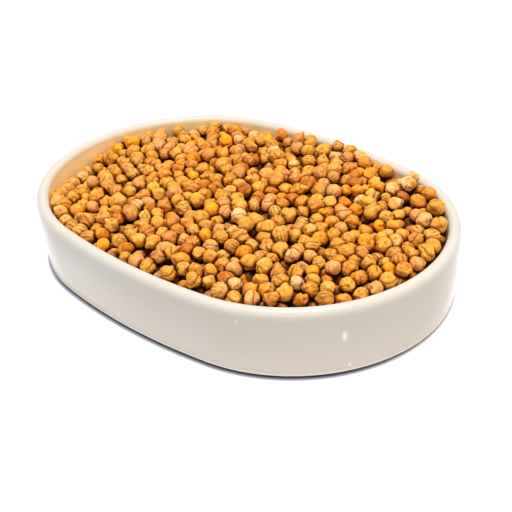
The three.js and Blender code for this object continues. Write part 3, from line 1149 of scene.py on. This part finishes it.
def coreMaterial():
    look = coreLook
    s = Shader("heapCoreShade")
    place = s.node("ShaderNodeTexCoord").outputs["Object"]
    colour = s.mixColour(s.noise(place, look["patchScale"], 3), look["light"], look["dark"])
    lumps = s.noise(place, look["lumpScale"], 2)
    bump = s.node("ShaderNodeBump", Height=lumps, Strength=look["lumpStrength"],
                  Distance=look["lumpHeight"] / metre)
    shader = s.node("ShaderNodeBsdfPrincipled", Base_Color=colour, Roughness=look["roughness"],
                    Normal=bump.outputs["Normal"])
    shader.inputs["Specular IOR Level"].default_value = 0
    s.node("ShaderNodeOutputMaterial", Surface=shader.outputs["BSDF"])
    return s.material


core = makeCore()
core.data.materials.append(coreMaterial())
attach(core, "root")
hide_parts("chickpeas")
print("heap made")

# Floor, lights and camera.
stageLook = {
    "floor": rgb(250, 250, 252),
    "contactShadow": rgb(60, 44, 40),        # painted shadow: the paper in the dark under the dish's edge
    "roughness": 0.9,
    "shadowSide": -70,                 # in degrees from +X, where the painted shadow on the paper by the dish is darkest
    "shadowFade": (0, 0.9),
    "paper": (                         # outside the dish's outline: reach, painted glow, painted shadow's darkness
        (-40, 0, 1),
        (-3.6, 0.02, 1),
        (-2.9, 0.06, 1),
        (-1.9, 0.26, 1),
        (-0.9, 0.6, 0.9),
        (0.2, 0.85, 0.4),
        (1.3, 0.95, 0),
        (7, 0.7, 0),
        (20, 0, 0),
        (100, 0, 0),
        (400, 0, 0),
        (3000, 0, 0),
    ),
    "freeGlow": 0.78,                  # painted glow on the side away from the shadow, between these reaches
    "freeReach": (-1, 7),
    # the colour of the painted glow
    "glowColour": rgb(240, 242, 255),
    "sky": 0.52,
    "lights": {                        # place in metres, width, power, colour
        "key": ((0.12, -0.06, 1.5), 0.7, 23.5, (1, 1, 1)),
        "front": ((0.95, -1, 0.3), 0.6, 2, (1, 0.97, 0.94)),
        "warmSide": ((1.4, 0.1, 0.3), 0.6, 1.5, (1, 0.5, 0.2)),
    },
}
cameraLook = {
    "target": (28.48, -19.62, 22.67),
    "distance": 570.5,
    "elevation": 31.41,
    "azimuth": 44.62,
    "roll": -3.346,
    "lens": 80.2,
    "sensor": 36,
}


def paperMaterial():
    s = Shader("floorPaper")
    # painted shadow by the dish's edge, and a painted glow round it
    colour = s.mixColour(s.attribute("dark"), stageLook["floor"], stageLook["contactShadow"])
    shader = s.node("ShaderNodeBsdfPrincipled", Base_Color=colour, Roughness=stageLook["roughness"])
    shader.inputs["Specular IOR Level"].default_value = 0
    shader.inputs["Emission Color"].default_value = stageLook["glowColour"]
    s.feed(shader.inputs["Emission Strength"], s.attribute("paintedGlow"))
    s.node("ShaderNodeOutputMaterial", Surface=shader.outputs["BSDF"])
    return s.material


def makeFloor():  # rings of paper round the dish's outline, with the painted glow and painted shadow of each
    normals = outlineNormals()
    around = len(normals)
    turned = np.cos(normals - math.radians(stageLook["shadowSide"]))
    shadow = smoothStep(turned, *stageLook["shadowFade"])
    nearest, furthest = stageLook["freeReach"]
    rings = []
    paintedGlow = []
    dark = []
    for reach, light, darkness in stageLook["paper"]:
        rings.append(np.column_stack([outlinePoints(normals, -reach), np.zeros(around)]))
        free = stageLook["freeGlow"] * float(nearest < reach < furthest)
        paintedGlow.append(light * shadow + free * (1 - shadow))
        dark.append(darkness * shadow)
    here = np.arange(around)
    after = (here + 1) % around
    quads = []
    for ring in range(len(rings) - 1):
        low = ring * around
        high = low + around
        quads.append(np.column_stack([low + here, high + here, high + after, low + after]))
    quads = np.concatenate(quads)
    fan = np.column_stack([here, after, np.full(around, len(rings) * around)])
    faces = np.concatenate([quads[:, [0, 1, 2]], quads[:, [0, 2, 3]], fan])
    values = {"paintedGlow": np.append(paintedGlow, 0), "dark": np.append(dark, 1)}
    floor = makeMesh("floor", np.concatenate(rings + [[[0, 0, 0]]]), faces, values)
    floor.data.materials.append(paperMaterial())
    return floor


def makeSky():
    world = bpy.data.worlds.new("sky")
    world.use_nodes = True
    background = world.node_tree.nodes["Background"]
    background.inputs["Color"].default_value = (1, 1, 1, 1)
    background.inputs["Strength"].default_value = stageLook["sky"]
    bpy.context.scene.world = world


def addLight(name, place, width, power, colour):  # aimed at the middle of the table
    data = bpy.data.lights.new(name, "AREA")
    data.shape = "DISK"
    data.size = width
    data.energy = power
    data.color = colour
    lamp = bpy.data.objects.new(name, data)
    bpy.context.scene.collection.objects.link(lamp)
    back = np.array(place) / np.linalg.norm(place)
    aside = np.cross((0, 1, 0) if abs(back[2]) > 0.99 else (0, 0, 1), back)  # another one if it is overhead
    aside = aside / np.linalg.norm(aside)
    turnAndPlace(lamp, aside, np.cross(back, aside), back, place)


def turnAndPlace(item, right, up, back, place):
    turn = Matrix([[right[k], up[k], back[k]] for k in range(3)]).to_4x4()
    item.matrix_world = Matrix.Translation(place) @ turn


def addCamera():
    look = cameraLook
    e = math.radians(look["elevation"])
    a = math.radians(look["azimuth"])
    r = math.radians(look["roll"])
    back = np.array([math.cos(e) * math.sin(a), -math.cos(e) * math.cos(a), math.sin(e)])
    level = np.array([math.cos(a), math.sin(a), 0])
    above = np.cross(back, level)
    right = level * math.cos(r) + above * math.sin(r)
    up = above * math.cos(r) - level * math.sin(r)
    data = bpy.data.cameras.new("camera")
    data.sensor_width = look["sensor"]
    data.lens = look["lens"]
    camera = bpy.data.objects.new("camera", data)
    bpy.context.scene.collection.objects.link(camera)
    turnAndPlace(camera, right, up, back, (np.array(look["target"]) + back * look["distance"]) / metre)
    bpy.context.scene.camera = camera


makeFloor()
makeSky()
for name, (place, width, power, colour) in stageLook["lights"].items():
    addLight(name, place, width, power, colour)
addCamera()
bpy.context.scene.view_settings.view_transform = "Standard"

print("scene made")
